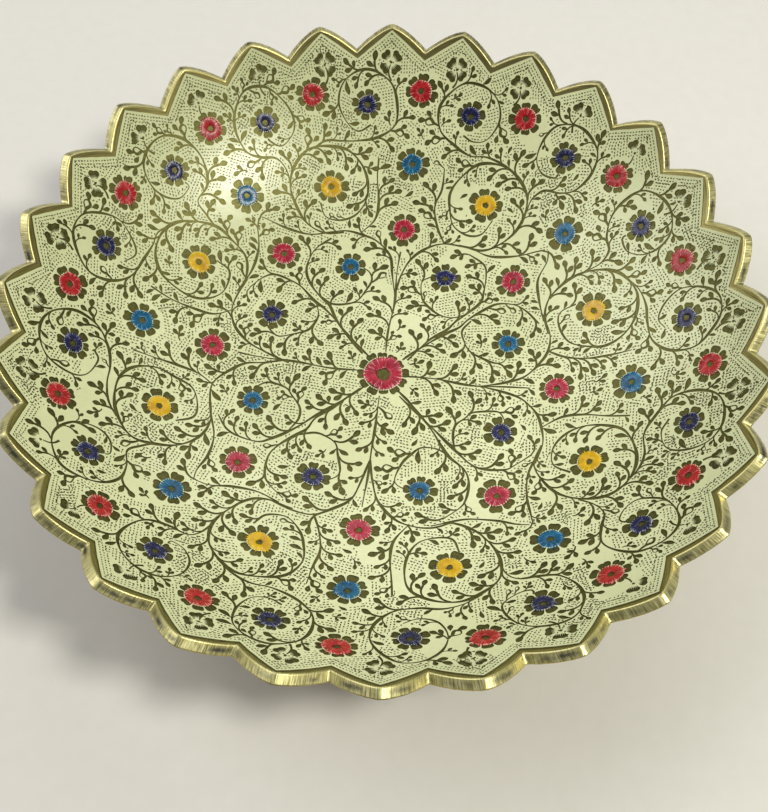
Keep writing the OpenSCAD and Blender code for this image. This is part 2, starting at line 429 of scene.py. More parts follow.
# %% Coloured enamels
def flower_enamel(deep, light, worn):
    """The surface map holds the way round in u and the share of the way from eye to edge
    in v, so noise that is long in v draws scratches, 0.3 mm wide, wider than real, to
    show.  Near the edge the colour thins to a pale fringe."""
    def recipe(t):
        """The nodes for these three tones."""
        uv = put(t, "UVMap", uv_map="surface")
        pos = put(t, "TexCoord", out="Object")
        along = put(t, "Mapping", {"Vector": uv, "Scale": (3.6, 0.9, 1.0)})
        lines = put(t, "TexNoise", {"Vector": along, "Scale": 1.0,
                                    "Roughness": 0.7})
        share = put(t, "SeparateXYZ", [uv], out=1)
        fringe = put(t, "Math", [put(t, "MapRange", [share, 0.55, 1.0, 0.0, 0.13]), lines],
                     operation="ADD")
        patch = put(t, "TexNoise", {"Vector": pos, "Scale": grain(3.5)})
        base = put(t, "Mix", {0: put(t, "MapRange", [patch, 0.35, 0.65]),
                              6: colour(deep), 7: colour(light)}, out=2, data_type="RGBA")
        bare = put(t, "MapRange", [fringe, 0.6, 0.7, 0.0, 0.8])
        return {"Base Color": put(t, "Mix", {0: bare, 6: base, 7: colour(worn)},
                                  out=2, data_type="RGBA"),
                "Normal": put(t, "Bump", {"Height": lines, "Distance": 0.08 * MM})}
    return recipe


# deep and light tone, and the pale tone of scratches and fringe
ENAMELS = {"pink": ("#860d24", "#a81a32", "#e4949a"),
           "red": ("#8e070e", "#ac1a20", "#e08780"),
           "yellow": ("#b68a00", "#d0a800", "#e6cc34"),
           "sky_blue": ("#033f60", "#07587c", "#62a4c4"),
           "navy": ("#09092c", "#15154a", "#7f85a8")}
enamel = {tint: material(f"enamel_{tint}", flower_enamel(*colours), Metallic=0.0,
                         Roughness=0.26, IOR=1.5) for tint, colours in ENAMELS.items()}
print("enamels:", list(enamel))

# %% [markdown]
# ## The bowl itself
#
# The bowl could be a disc with a Solidify modifier, but a real one is thick metal whose
# edge was squared with a file, so its edge face has to lean the same way all round.  Here
# the whole casting is one grid.  Going round the bowl is one direction; the other goes
# from the middle of the inside up to the edge, over the filed face, and down the outside
# to the middle again.

# %% Rows of the bowl
AROUND = TEETH * 32
BEVEL = 0.28          # the sharp edges are broken with a stroke of the file
ARC_ROWS = 25
INSIDE, SCRAPED, FILED, OUTSIDE = range(4)
theta = np.arange(AROUND) * 2 * math.pi / AROUND


def arc_row(radius, climb):
    """Points round the bowl on one of its two arcs: the radius grows with the sine of
    the angle climbed, the height with one minus its cosine."""
    rad = FLAT_R + radius * np.sin(np.broadcast_to(climb, theta.shape))
    return np.column_stack([rad * np.cos(theta), rad * np.sin(theta),
                            AXIS_Z - radius * np.cos(np.broadcast_to(climb, theta.shape))])


def flat_row(part, height):
    """Points round the flat bottom at a share of its radius."""
    return np.column_stack([FLAT_R * np.cos(theta) * part, FLAT_R * np.sin(theta) * part,
                            np.full(AROUND, height)])


inner = climb_to(theta, IN_R, edge_height)
coat = climb_to(theta, IN_R, field_height)
outer = climb_to(theta, OUT_R, edge_height)
corner, lip = arc_row(IN_R, inner), arc_row(OUT_R, outer)
across = np.linalg.norm(lip - corner, axis=1)[:, None]
rows = []            # (points, zone, distance for the surface map)
for part in (0.25, 0.5, 0.75, 1.0):
    rows.append((flat_row(part, AXIS_Z - IN_R), INSIDE, part * FLAT_R))
for part in np.linspace(0, 1, ARC_ROWS)[1:]:
    rows.append((arc_row(IN_R, coat * part), INSIDE, IN_R * coat * part))
for part in (0.33, 0.66, 1.0):
    climb = coat + (inner - BEVEL / IN_R - coat) * part
    rows.append((arc_row(IN_R, climb), SCRAPED, IN_R * (inner - climb)))
for part in (0.0, 0.08, 0.2, 0.35, 0.5, 0.65, 0.8, 0.92, 1.0):
    v = BEVEL + (across - 2 * BEVEL) * part
    rows.append((corner + (lip - corner) * (v / across), FILED, v[:, 0]))
for part in np.linspace(1, 0, ARC_ROWS):
    climb = (outer - BEVEL / OUT_R) * part
    rows.append((arc_row(OUT_R, climb), OUTSIDE, OUT_R * climb))
for part in (0.75, 0.5, 0.25):
    rows.append((flat_row(part, FOOT_H), OUTSIDE, part * FLAT_R))
print("rows of the bowl:", len(rows))

# %% Bowl as one closed grid
def make_bowl():
    """Quads between the rows, and a fan of triangles round each middle point."""
    count, j = len(rows), np.arange(AROUND)
    k, base = (j + 1) % AROUND, (count - 1) * AROUND
    middles = np.array([[0, 0, AXIS_Z - IN_R], [0, 0, FOOT_H]])
    first, last = np.full(AROUND, count * AROUND), np.full(AROUND, count * AROUND + 1)
    caps = np.concatenate([np.column_stack([first, j, k]),
                           np.column_stack([last, base + k, base + j])])
    length = np.concatenate([[0], np.cumsum(np.linalg.norm(
        np.roll(corner, -1, axis=0) - corner, axis=1))])
    v = np.array([np.broadcast_to(r[2], AROUND) for r in rows])
    uv = grid_uv(length, v, False)[:, ::-1].reshape(-1, 2)
    which = np.concatenate([np.repeat([r[1] for r in rows[1:]], AROUND),
                            np.full(AROUND, INSIDE), np.full(AROUND, OUTSIDE)])
    return build("bowl", np.concatenate([r[0] for r in rows] + [middles]),
                 [grid_quads(count, AROUND, False)[:, ::-1], caps],
                 [brass_engraved, brass_scraped, brass_filed, brass_turned],
                 "bowl_shell", which,
                 np.concatenate([uv, np.zeros((caps.size, 2))]))


bowl = make_bowl()
print("bowl, faces:", len(bowl.data.polygons))

# %% [markdown]
# ## What the engraver cuts
#
# Everything cut through the coat is a flat outline: a stem is a ribbon that swells and
# tapers, a leaf is a teardrop, a flower is a disc with petals round it, and the ground is
# filled with rows of nicks.  The shapes are gathered in one list.  Beside it, a fine
# chequer of true and false marks where the coat is already cut, so that leaves and nicks
# find free ground, as the engraver's eye does.

# %% The list of cuts and the map of free ground
CELL = 0.25        # side of one cell of the map
HALF = 145.0       # half the side of the map
SIDE = int(2 * HALF / CELL)
taken = np.zeros((SIDE, SIDE), bool)
cuts = []          # closed outlines, each an array of flat points
islands = []       # cream left standing inside a cut


def cells(points):
    """Column and row of the cell that each point falls in."""
    return np.clip(((points + HALF) / CELL).astype(int), 0, SIDE - 1)


def mark(centres, radii):
    """Marks round spots: a square stencil of cells is laid on every centre and kept where
    it is nearer than the radius."""
    centres, radii = np.atleast_2d(centres), np.atleast_1d(radii)
    reach = int(radii.max() / CELL) + 1
    a = np.arange(-reach, reach + 1)
    dx, dy = (g.ravel() for g in np.meshgrid(a, a))
    near = np.hypot(dx, dy)[None, :] * CELL <= radii[:, None]
    at = cells(centres)
    x = np.clip(at[:, :1] + dx, 0, SIDE - 1)[near]
    y = np.clip(at[:, 1:] + dy, 0, SIDE - 1)[near]
    taken[x, y] = True


def is_free(points):
    """True if no point falls in a cell that is already cut."""
    at = cells(np.atleast_2d(points))
    return not taken[at[:, 0], at[:, 1]].any()


def ccw(loop):
    """The outline turned so that it runs anticlockwise: its signed area, half the sum of
    the cross products of neighbouring points, is then positive."""
    x, y = loop[:, 0], loop[:, 1]
    return loop if np.sum(x * np.roll(y, -1) - y * np.roll(x, -1)) > 0 else loop[::-1]


def cut(loop):
    """Adds an outline to the list of cuts."""
    cuts.append(ccw(loop))


# %% Small helpers for flat drawing
def turn(angle):
    """The matrix of a rotation, for points in rows."""
    c, s = math.cos(angle), math.sin(angle)
    return np.array([[c, s], [-s, c]])


def spot(r, angle):
    """The flat point at distance r from the middle, at an angle."""
    return np.array([r * math.cos(angle), r * math.sin(angle)])


def polar(r, angles):
    """The same for arrays: one point per angle."""
    return np.column_stack([r * np.cos(angles), r * np.sin(angles)])


def smooth(points, gap):
    """Catmull-Rom curve: on each span the line passes through both ends with a slope
    parallel to the chord between their neighbours."""
    p = np.asarray(points, float)
    p = np.vstack([2 * p[0] - p[1], p, 2 * p[-1] - p[-2]])
    out = []
    for i in range(1, len(p) - 2):
        n = max(2, int(np.linalg.norm(p[i + 1] - p[i]) / gap))
        t = np.linspace(0, 1, n, endpoint=False)[:, None]
        out.append(0.5 * (2 * p[i] + (p[i + 1] - p[i - 1]) * t
                          + (2 * p[i - 1] - 5 * p[i] + 4 * p[i + 1] - p[i + 2]) * t ** 2
                          + (3 * p[i] - p[i - 1] - 3 * p[i + 1] + p[i + 2]) * t ** 3))
    out.append(p[-2:-1])
    return np.vstack(out)


def along_line(line):
    """Unit direction, left normal and distance run at every point."""
    step = np.gradient(line, axis=0)
    step /= np.maximum(np.hypot(*step.T), 1e-9)[:, None]
    run = np.concatenate([[0], np.cumsum(np.hypot(*np.diff(line, axis=0).T))])
    return step, np.column_stack([-step[:, 1], step[:, 0]]), run


def ribbon(line, width):
    """Cuts a line: the outline goes up its left side and down its right, half a width
    away."""
    half = (width / 2)[:, None] * along_line(line)[1]
    cut(np.vstack([line - half, (line + half)[::-1]]))
    mark(line, width / 2 + 0.15)


# %% Edge of the coat as a flat outline
def coat_edge(inset=0.0, per_flank=9):
    """Distance from the middle to the coat's edge: where the inside curve meets the
    straight flanks, less an inset measured square to them."""
    n = TEETH * 2 * per_flank
    around = np.arange(n) * 2 * math.pi / n
    return around, FLAT_R + IN_R * climb_to(
        around, IN_R, lambda th, u: field_height(th, u) - inset / math.sin(HALF_A))


EDGE_THETA, EDGE_S = coat_edge(0.9, 40)


def in_field(points):
    """True where a flat point lies inside the coat with 0.9 mm to spare."""
    ang = np.arctan2(points[:, 1], points[:, 0]) % (2 * math.pi)
    return np.hypot(*points.T) < np.interp(ang, EDGE_THETA, EDGE_S, period=2 * math.pi)

# %% [markdown]
# ## Leaves
#
# One cut with a round-nosed graver makes a lobe: it enters fine, rocks to its full width
# near the end and stops round.  Leaves are two or three lobes on a short stalk.  In some,
# one lobe is an outlined loop with cream left inside it, and some are a single stroke.

# %% Lobes and sprays
# Each leaf: its lobes as (kind, x, y, lean, length, width), then its stalk, in mm.  x runs
# out along the stalk; y and lean change sign with the side that the leaf curls to.
SPRAYS = {
    "trio": ([("lobe", 2.8, 0.5, 0.45, 3.2, 1.7), ("lobe", 1.9, 0.15, -0.5, 3.0, 1.55),
              ("lobe", 1.5, 0.1, 1.15, 2.3, 1.3)],
             [(0, 0), (1.1, -0.1), (2.1, 0.2), (3.3, 0.75)]),
    "pair": ([("lobe", 2.3, 0.4, 0.55, 3.5, 1.7), ("lobe", 1.5, 0.05, -0.5, 3.0, 1.5)],
             [(0, 0), (0.9, -0.15), (1.8, 0.15), (2.8, 0.7)]),
    "fan": ([("lobe", 1.5, 0.2, 1.05, 2.4, 1.3), ("lobe", 2.0, 0.1, 0.15, 3.4, 1.6),
             ("lobe", 1.2, 0.0, -0.85, 2.6, 1.3)],
            [(0, 0), (1.0, 0.15), (2.2, 0.1)]),
    "comma": ([("lobe", 0.0, 0.0, 0.1, 4.0, 1.55)], []),
    "loop": ([("loop", 1.5, 0.3, 0.15, 3.6, 2.1)], [(0, 0), (1.2, 0.3), (2.2, 0.4)]),
    "sweep": ([("lobe", 4.2, 1.0, 0.6, 3.0, 1.6), ("lobe", 3.2, 0.35, -0.35, 3.0, 1.5)],
              [(0, 0), (1.6, -0.35), (3.2, 0.1), (4.7, 1.3)]),
    "window": ([("loop", 0.7, 0.05, 0.2, 3.7, 2.5), ("lobe", 3.7, 0.6, 0.6, 2.7, 1.6),
                ("lobe", 2.9, -0.6, -0.6, 2.4, 1.45)],
               [(0, 0), (0.6, 0), (1.3, 0.05)]),
}
KINDS = list(SPRAYS)


def lobe_loop(root, angle, length, width, bend):
    """Outline of a teardrop from its fine root: half the width times
    sin(pi t^1.55)^0.8, with t the way along; bend curls the axis to the side."""
    t = np.array([0, 0.18, 0.36, 0.52, 0.66, 0.79, 0.9, 0.97])
    half = width / 2 * np.sin(math.pi * np.minimum(t ** 1.55, 1.0)) ** 0.8
    axis = np.column_stack([t, bend * t ** 2]) * length
    upper = axis + np.column_stack([0 * t, half])
    lower = axis - np.column_stack([0 * t, half])
    tip = np.array([[length, bend * length]])
    loop = np.vstack([lower[1:], tip, upper[:0:-1], axis[:1]])
    return loop @ turn(angle) + root, axis @ turn(angle) + root, half


def try_spray(kind, root, angle, size, side, clear=0.22, shy=1.5):
    """Cuts a leaf if the ground under it is free, clear millimetres round it.  The first
    shy millimetres from its root are not tested, because there it joins its stem."""
    jitter, spin = rng.uniform(-0.16, 0.16, 6), turn(angle)
    lobes, stalk = SPRAYS[kind]
    bend = (0.22 if kind == "comma" else 0.08) * side
    made, test = [], []
    for (what, x, y, lean, length, width), j in zip(lobes, jitter):
        at = np.array([x, y * side]) * size @ spin + root
        loop, axis, half = lobe_loop(at, angle + (lean * side + j), size * length,
                                     size * width, bend)
        made.append((what, loop, axis, half))
        centre = loop.mean(axis=0)
        test.append(centre + (loop - centre) * (1 + 2 * clear / (size * width)))
    test = np.vstack(test)
    test = test[np.hypot(*(test - root).T) > shy]
    if len(test) and (not is_free(test) or not in_field(test).all()):
        return False
    for what, loop, axis, half in made:
        cut(loop)
        mark(axis, half + 0.2)
        if what == "loop":
            mid = axis[4]
            out = (axis[-1] - axis[0]) / np.linalg.norm(axis[-1] - axis[0])
            inward = side * 0.22 * half.max() * np.array([-out[1], out[0]])
            islands.append((loop - mid) * 0.5 + mid + inward)
    if stalk:
        line = smooth(np.array(stalk) * [1, side] * size @ spin + root, 0.5)
        ribbon(line, np.linspace(0.42, 0.76, len(line)) * size)
    return True

# %% [markdown]
# ## Flowers
#
# Where the flowers stand follows the eight-fold plan of the bowl: a circle of eight, navy
# and sky blue in turn, then eight pink, eight yellow and eight blue, and near the rim 16
# red and 16 navy in turn.  Each has seven or eight petals cut to the brass, and the large
# one in the middle twelve, with thin lines of cream between them.

# %% Where the flowers stand
FIELD_S = float(FLAT_R + IN_R * climb_to(np.zeros(1), IN_R,
                                         lambda th, u: V_FIELD + 0 * u)[0])


def direction(turns):
    """Angle after a number of eighths of a turn, counted clockwise from the back."""
    return math.pi / 2 - turns * math.pi / 4


def ring_of(count, fraction, size, reach, tint, shift=0.0):
    """count flowers at a share of the coat's radius, as (x, y, diameter of the ring,
    reach of the petals, colour)."""
    return [(*spot(fraction * FIELD_S, direction((k + shift) * 8 / count)), size, reach, tint)
            for k in range(count)]


flowers = {"flower_centre": [(0.0, 0.0, 14.5, 9.0, "pink")]}
for k, f in enumerate(ring_of(8, 0.378, 7.2, 6.0, "navy", 0.5)):
    flowers[f"flower_inner_{k + 1}"] = [f[:4] + ("sky_blue" if k % 2 else "navy",)]
for name, group in (("pink", ring_of(8, 0.495, 8.8, 6.6, "pink")),
                    ("yellow", ring_of(8, 0.64, 8.4, 6.75, "yellow", 0.5)),
                    ("blue", ring_of(8, 0.702, 8.2, 6.75, "sky_blue"))):
    for k, f in enumerate(group):
        flowers[f"flower_{name}_{k + 1}"] = [f]
flowers["flowers_rim_red"] = ring_of(16, 0.92, 8.6, 6.25, "red")
flowers["flowers_rim_navy"] = ring_of(16, 0.875, 7.2, 5.75, "navy", 0.5)
print("flowers:", sum(len(g) for g in flowers.values()))

# %% Their petals
LARGE = 10.0       # only the flower in the middle is larger than this
PETAL_FAN = np.array([0, 0.02, 0.08, 0.2, 0.38, 0.5, 0.62, 0.8, 0.92, 0.98, 1])


def stretch_round(loop, x, y):
    """Widens a loop sideways on the drawing so that it is round on the metal."""
    s = math.hypot(x, y)
    if s < FLAT_R:
        return loop + (x, y)
    c, d = x / s, y / s
    out, side = loop @ [c, d], loop @ [-d, c] * squeeze(s)
    return np.column_stack([out * c - side * d, out * d + side * c]) + (x, y)


def cut_petals(x, y, size, reach):
    """A disc under the coloured ring and separate petals round it.  The outer edge of a
    petal follows (1 - |2t - 1|^4.4)^0.36, which is broad and round-shouldered, with a
    dent near the middle; its inner edge is a comb of strokes."""
    n = 12 if size > LARGE else rng.integers(7, 9)
    start = rng.uniform(0, 2 * math.pi)
    cut(stretch_round(polar(size / 2 - 0.3, np.arange(28) * math.pi / 14), x, y))
    wave = (1 - np.abs(2 * PETAL_FAN - 1) ** 4.4) ** 0.36
    comb = size / 2 - 0.22 + 0.3 * (np.arange(len(PETAL_FAN)) % 2)
    for k in range(n):
        long = reach * rng.uniform(0.97, 1.13)
        gap = rng.uniform(0.05, 0.11)
        t = gap / 2 + PETAL_FAN * (1 - gap)
        dent = rng.uniform(0.0, 0.8) * np.exp(
            -((PETAL_FAN - rng.uniform(0.4, 0.6)) / 0.09) ** 2)
        r = comb + (long - comb - dent) * np.maximum(wave, 0.12)
        a = start + (k + np.concatenate([t, t[::-1]])) * 2 * math.pi / n
        cut(stretch_round(polar(np.concatenate([r, comb[::-1]]), a), x, y))
    mark((x, y), reach * 1.05 + 0.5)


for group in flowers.values():
    for x, y, size, reach, tint in group:
        cut_petals(x, y, size, reach)
print("discs and petals cut:", len(cuts))

# %% [markdown]
# ## Stems
#
# The scrolls repeat eight times, mirrored each time, so only half of one pattern has to
# be drawn: the points are given in a frame whose y runs outwards between two
# flowers.  A smooth curve goes through them.

# %% Stems of one eighth, drawn in millimetres
STEMS = {
    "inner_round": ([(4.7, 10.2), (8.9, 21.4), (11.5, 28.8), (12.7, 34.2),
                     (14.3, 38.7), (16.8, 45.8), (16.8, 51.3),
                     (14.3, 57.4), (10.7, 60.8), (4.2, 63)], 1.0),
    "inner_curl": ([(14.3, 38.7), (10.5, 34.8), (5.9, 33.5), (1, 34.4),
                    (-2.8, 37), (-6.5, 41.7), (-6.8, 45.2),
                    (-4.4, 48.6)], 0.85),
    "fan": ([(-13.8, 33.3), (-15.4, 42), (-15.6, 50), (-13, 57), (-8, 62),
             (-1, 64.6), (7, 65.4)], 0.95),
    "middle": ([(-1, 64.6), (7, 66), (13, 71), (16.3, 79), (16.3, 87),
                (12.8, 94.5), (6, 99), (-2, 99.8), (-10, 96.5), (-15, 90),
                (-15.6, 82), (-12.4, 75), (-7.5, 70.5), (-1, 69.3),
                (4.5, 72), (5.5, 78.5)], 1.1),
    "rim_right": ([(16.3, 87), (17, 93), (20, 97.5), (26, 98.8),
                   (32, 102.5), (35.2, 109), (34.3, 117), (29, 123),
                   (21.5, 124.6), (14.2, 121.5), (10.3, 114.8),
                   (11.2, 107.5), (16.5, 103.3), (21.5, 103.6),
                   (22.2, 106)], 1.0),
    "rim_left": ([(6, 99.2), (-1, 101.2), (-8, 101), (-15, 98.6),
                  (-23, 98.2), (-31, 101.7), (-35.2, 109), (-34.3, 117),
                  (-29, 123), (-21.5, 124.6), (-14.2, 121.5),
                  (-10.3, 114.8), (-11.2, 107.5), (-16.5, 103.3),
                  (-21.5, 103.8)], 1.0),
    "twig_left": ([(-8, 62), (-14, 67), (-17.8, 74), (-20, 82),
                   (-22, 90)], 0.9),
    "twig_right": ([(4, 65), (13, 65.8), (21, 69.5), (27, 74),
                    (31, 76)], 0.9),
}
lines = []       # every finished stem line, for the leaves to grow from



def in_eighth(points, k):
    """From the eighth's own frame to the drawing: y outwards along direction k + 1/2, x
    to the right, mirrored in every other eighth."""
    a = direction(k + 0.5)
    flip = 1 if k % 2 == 0 else -1
    return (flip * points[:, :1] * [math.sin(a), -math.cos(a)]
            + points[:, 1:] * [math.cos(a), math.sin(a)])


def stem(points, width):
    """A stem swells in its middle and tapers to its end; a slow wave makes the pressure
    of the hand."""
    line = smooth(points, 0.9)
    _, left, run = along_line(line)
    line = line + left * (0.22 * np.sin(run / 5.5 + rng.uniform(0, 6.3)))[:, None]
    w = width * (0.62 + 0.38 * np.sin(math.pi * np.minimum(run / run[-1] * 1.15, 1)))
    w = w * (1 + 0.34 * np.sin(run / 3.1 + rng.uniform(0, 6.3)))
    ribbon(line, np.maximum(w, 0.42))
    lines.append(line)


# straight stems from the middle: to a blue flower, and a short one between two others
RAYS = ([(9.5, 0), (20, 0.3), (32, -0.2), (44, 0.2), (55, 0)],
        [(9.5, 0), (15.5, 0.2), (22, 0)])
for k in range(8):
    for points, width in STEMS.values():
        wobble = rng.normal(0, 0.35, (len(points), 2))
        stem(in_eighth(np.array(points) + wobble, k), width)
    stem(np.array(RAYS[k % 2]) @ turn(direction(k)), 0.85)
print("stems:", len(lines), "cuts so far:", len(cuts))

# %% [markdown]
# ## Clovers in the teeth, and leaves along the stems
#
# Every tooth holds a clover of four petals; a petal is left out where a stem already
# takes its ground.  Leaves grow from alternate sides of a stem, leaning the way it grows,
# the largest that finds free ground.  Then loose sprays fill the pockets that are left.

# %% Clovers in the teeth
def clover(theta, s):
    """Four broad petals round a point, in polar form: the outer edge is two shallow
    lobes, the inner edge a comb of five strokes.  A dot marks the middle and a curved
    stalk runs towards the bowl's centre."""
    at = spot(s, theta)
    swing = rng.uniform(-0.25, 0.25)
    fan = np.linspace(-1, 1, 11)
    for q in range(4):
        middle = theta + math.pi / 4 + q * math.pi / 2 + swing
        wide = rng.uniform(0.58, 0.68)
        outer = (5.1 + rng.uniform(-0.3, 0.3) - 1.1 * np.abs(fan) ** 4
                 - 0.5 * np.exp(-(fan / 0.25) ** 2))
        comb = np.where(np.arange(11) % 2, 3.2, 1.7) + rng.uniform(-0.2, 0.2, 11)
        a = middle + np.concatenate([fan, fan[::-1] * 0.85]) * wide
        petal = polar(np.concatenate([outer, comb]), a) + at
        if is_free(petal):
            cut(petal)
            mark(at + spot(3.6, middle), 2.2)
    cut(at + polar(0.55, np.arange(8) * math.pi / 4))
    side = rng.choice((-1, 1))
    stalk = np.array([(-0.9, 0.2 * side), (-2.8, 0.9 * side), (-5.0, 0.7 * side),
                      (-7.0, -0.4 * side)])
    line = smooth(stalk @ turn(theta) + at, 0.7)
    ribbon(line, np.linspace(0.5, 0.9, len(line)))


CLOVER_S = 130.3     # distance of a clover from the middle, along the metal
for tooth in range(TEETH):
    clover((tooth + 0.5) * STEP, CLOVER_S + rng.uniform(-0.5, 0.5))
print("cuts with the clovers:", len(cuts))

# %% Leaves
SIZES = (1.46, 1.38, 1.3, 1.2, 1.1, 1.0, 0.9, 0.8)       # tried from large to small
ON_STEM = (0.2, 0.14, 0.1, 0.04, 0.01, 0.2, 0.31)        # how common each kind is
LOOSE = (0.42, 0.26, 0.22, 0.1, 0.0)
ONE_SIDED = 0.6      # chance that a leaf on one side leaves the other side bare
leaf_count = 0
for line in lines:
    step, left, run = along_line(line)
    where = 3.2 + rng.uniform(0, 1.5)
    side = 1
    while where < run[-1] + 0.1:
        i = min(int(np.searchsorted(run, where)), len(line) - 1)
        heading = math.atan2(step[i, 1], step[i, 0])
        for turn_side in (side, -side):
            done = False
            for size in SIZES:
                kind = KINDS[rng.choice(7, p=ON_STEM)]
                lean = turn_side * rng.uniform(0.25, 0.75)
                root = line[i] + left[i] * turn_side * 0.2
                if try_spray(kind, root, heading + lean, size, turn_side):
                    done = True
                    leaf_count += 1
                    break
            if done and rng.uniform() < ONE_SIDED:
                break
        side = -side
        where += rng.uniform(2.4, 3.8)
print("leaves on stems:", leaf_count)

# %% Loose sprays
TRIES = 26000        # spots that are tried
LOOSE_R = 122        # no loose spray stands further out than this
free_count = 0
for _ in range(TRIES):
    r = 134 * math.sqrt(rng.uniform())
    a = rng.uniform(0, 2 * math.pi)
    kind = KINDS[rng.choice(5, p=LOOSE)]
    size = rng.uniform(0.85, 1.15)
    if r < LOOSE_R and try_spray(kind, spot(r, a), a + rng.uniform(-1.4, 1.4), size,
                                 rng.choice((-1, 1)), clear=0.75, shy=0.0):
        free_count += 1
print("loose sprays:", free_count)

# %% [markdown]
# ## The stippled ground
#
# Between the leaves the coat is roughened with rows of tiny nicks.  The engraver turns
# the bowl as the work goes on, so the rows change direction from patch to patch; some
# patches are crossed and a few are left plain.  A band along the rim follows its zigzag.

# %% Rows of nicks
NICK_L, NICK_W = 0.76, 0.54
ROW, PITCH = 1.18, 1.24 # from row to row and from nick to nick; drawn coarser than real
BORDER = 4.2            # depth of the band that follows the rim's zigzag
PATCH_GAP = 13.5        # from seed to seed of the patches
PATCH_R = 16.0          # no patch reaches further than this from its seed


def lattice(seed, angle):
    """Rows of points round a patch's seed: each row is shifted a little along itself."""
    n, m = int(PATCH_R / ROW), int(PATCH_R / PITCH)
    rows = np.arange(-n, n + 1)
    x = np.arange(-m, m + 1)[None, :] * PITCH + rng.uniform(0, PITCH, len(rows))[:, None]
    y = np.broadcast_to(rows[:, None] * ROW, x.shape)
    p = np.column_stack([x.ravel(), y.ravel()])
    return (p + rng.normal(0, 0.06, p.shape)) @ turn(angle) + seed


def tooth_rows(tooth, side):
    """Rows of points parallel to one flank of a tooth, from the notch to the tooth's
    middle, and their angle."""
    tip = (tooth + 0.5) * STEP
    a = spot(notch_s, (tooth + (0 if side > 0 else 1)) * STEP)
    b = spot(tip_s, tip)
    run = np.linalg.norm(b - a)
    along = (b - a) / run
    inward = np.array([-along[1], along[0]]) * side
    x, y = np.meshgrid(np.arange(-1, int(run / PITCH) + 1) * PITCH,
                       1.1 + np.arange(0, int(BORDER / ROW)) * ROW)
    p = (a + x.reshape(-1, 1) * along + y.reshape(-1, 1) * inward
         + rng.normal(0, 0.05, (x.size, 2)))
    off = (np.arctan2(p[:, 1], p[:, 0]) - tip + math.pi) % (2 * math.pi)
    return p[(off - math.pi) * side < 0.003], math.atan2(along[1], along[0])


nick_at, nick_angle = [], []


def add_nicks(p, angle):
    """Keeps points for nicks, each turned a little from the angle of its row."""
    nick_at.append(p)
    nick_angle.append(np.full(len(p), angle) + rng.normal(0, 0.08, len(p)))


# %% Patches of nicks, and the band along the rim
grid = np.arange(-140, 141, PATCH_GAP)
seeds = np.array([(x, y) for x in grid for y in grid])
seeds = seeds + rng.uniform(-5, 5, seeds.shape)
seeds = seeds[np.hypot(*seeds.T) < 142]
for seed in seeds:
    angle = rng.choice((0.0, math.pi / 2)) + rng.normal(0, 0.28)
    crossings = rng.choice(3, p=(0.15, 0.67, 0.18))     # plain, rows, or crossed rows
    for extra in range(crossings):
        p = lattice(seed, angle + extra * math.pi / 2)
        p = p[np.hypot(*(p - seed).T) < PATCH_R]
        gap = np.linalg.norm(p[:, None] - seeds[None], axis=2)
        mine = gap.min(axis=1) > np.hypot(*(p - seed).T) - 0.2
        p = p[mine & in_field(p * (1 + (BORDER - 1.5) / 135))]
        add_nicks(p, angle + extra * math.pi / 2)
for tooth in range(TEETH):
    for side in (1, -1):
        add_nicks(*tooth_rows(tooth, side))
print("nicks before the ground is looked at:", sum(map(len, nick_at)))

# %% Nicks as small four-cornered cuts
nick_at, nick_angle = np.vstack(nick_at), np.concatenate(nick_angle)
along = polar(1.0, nick_angle)
ok = in_field(nick_at + along * 0.4) & in_field(nick_at - along * 0.4)
for probe in (nick_at, nick_at + along * 0.5, nick_at - along * 0.5):
    at = cells(probe)
    ok &= ~taken[at[:, 0], at[:, 1]]
nick_at, along = nick_at[ok], along[ok]
across = np.column_stack([-along[:, 1], along[:, 0]])
length = (NICK_L * rng.uniform(0.7, 1.2, len(nick_at)) / 2)[:, None]
width = (NICK_W * rng.uniform(0.7, 1.2, len(nick_at)) / 2)[:, None]
nicks = np.stack([nick_at - along * length - across * width * 0.6,
                  nick_at + along * length - across * width,
                  nick_at + along * length * 0.9 + across * width,
                  nick_at - along * length * 0.9 + across * width * 0.7], axis=1)
print("nicks:", len(nicks))

# %% [markdown]
# ## The coat
#
# The coat is one thin layer with every cut taken out of it.  A boolean for each of
# thousands of cuts would take for ever, and a picture of the pattern would have no depth.
# Instead the outlines are handed to a triangulator, which splits the plane along all of
# them at once and says which outlines each triangle lies in.  Triangles inside the coat
# and outside every cut are the enamel that is left, and so are the ones inside an island.

# %% Triangles of the coat
GRID = 4.6           # mm between the loose points


def triangulate():
    """Corner points and triangles of the coat, all anticlockwise: a triangle whose cross
    product is negative is turned round.  Loose grid points keep the triangles small
    enough to follow the curve of the bowl."""
    around, s = coat_edge()
    s = s - np.abs(np.random.default_rng(3).normal(0, 0.06, len(s)))
    loops = [polar(s, around)] + cuts + list(nicks) + [ccw(i) for i in islands]
    ends = np.cumsum([len(p) for p in loops]).tolist()
    faces = [list(range(e - len(p), e)) for p, e in zip(loops, ends)]
    g = np.arange(-140, 140.1, GRID)
    extra = np.array([(x, y) for x in g for y in g])
    extra = extra[np.hypot(*extra.T) < 138]
    extra = extra[in_field(extra)] + 0.013
    flat, _, tris, _, _, owners = delaunay_2d_cdt(
        [Vector(p) for p in np.vstack(loops + [extra]).tolist()], [], faces, 1, 1e-5)
    first_island = len(loops) - len(islands)
    keep = [0 in o and (len(o) == 1 or max(o) >= first_island) for o in owners]
    flat = np.array([tuple(p) for p in flat])
    tris = np.array(tris)[np.array(keep)]
    a, b, c = flat[tris].transpose(1, 0, 2)
    back = ((b - a)[:, 0] * (c - a)[:, 1] - (b - a)[:, 1] * (c - a)[:, 0]) < 0
    tris[back] = tris[back][:, ::-1]
    return flat, tris


flat, tris = triangulate()
print("coat, corner points:", len(flat), "triangles on top:", len(tris))


